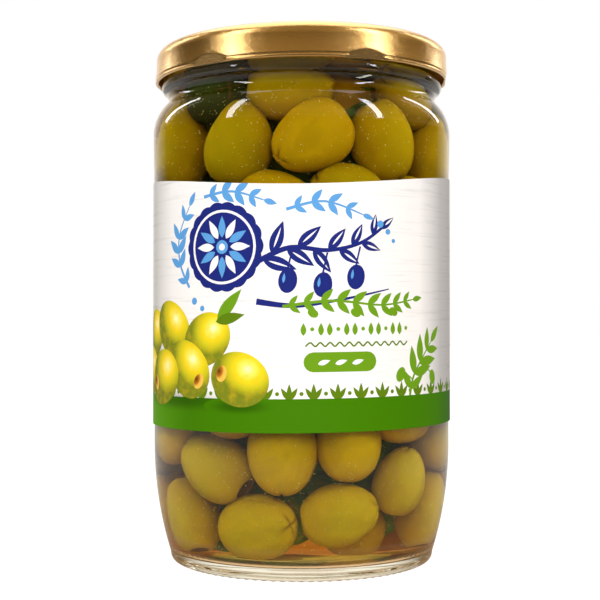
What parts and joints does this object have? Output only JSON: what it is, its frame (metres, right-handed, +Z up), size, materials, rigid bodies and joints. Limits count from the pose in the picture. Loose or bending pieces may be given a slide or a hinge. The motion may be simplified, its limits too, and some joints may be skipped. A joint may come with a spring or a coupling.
{
  "type": "jar of olives",
  "caption": "Shut glass jar of green olives in brine, with a gold twist-off lid and a paper label wrapped round its side.",
  "frame": {"origin": "centre of the flat ring that the jar stands on, at the level of the surface under it", "axes": "+Z up along the jar's axis, -Y out of the middle of the label, +X to the right for someone facing the label"},
  "size_m": [0.087, 0.087, 0.1487],
  "materials": {
    "glass": "clear moulded soda-lime glass",
    "lid": "gold lacquered tinplate, satin",
    "label": "printed paper, pale planks with a green band",
    "olives": "moist olive skin, green to yellow"
  },
  "bodies": {
    "root": {"jar_glass": "glass", "lid": "lid", "label": "label", "olives": "olives"}
  },
  "joints": []
}
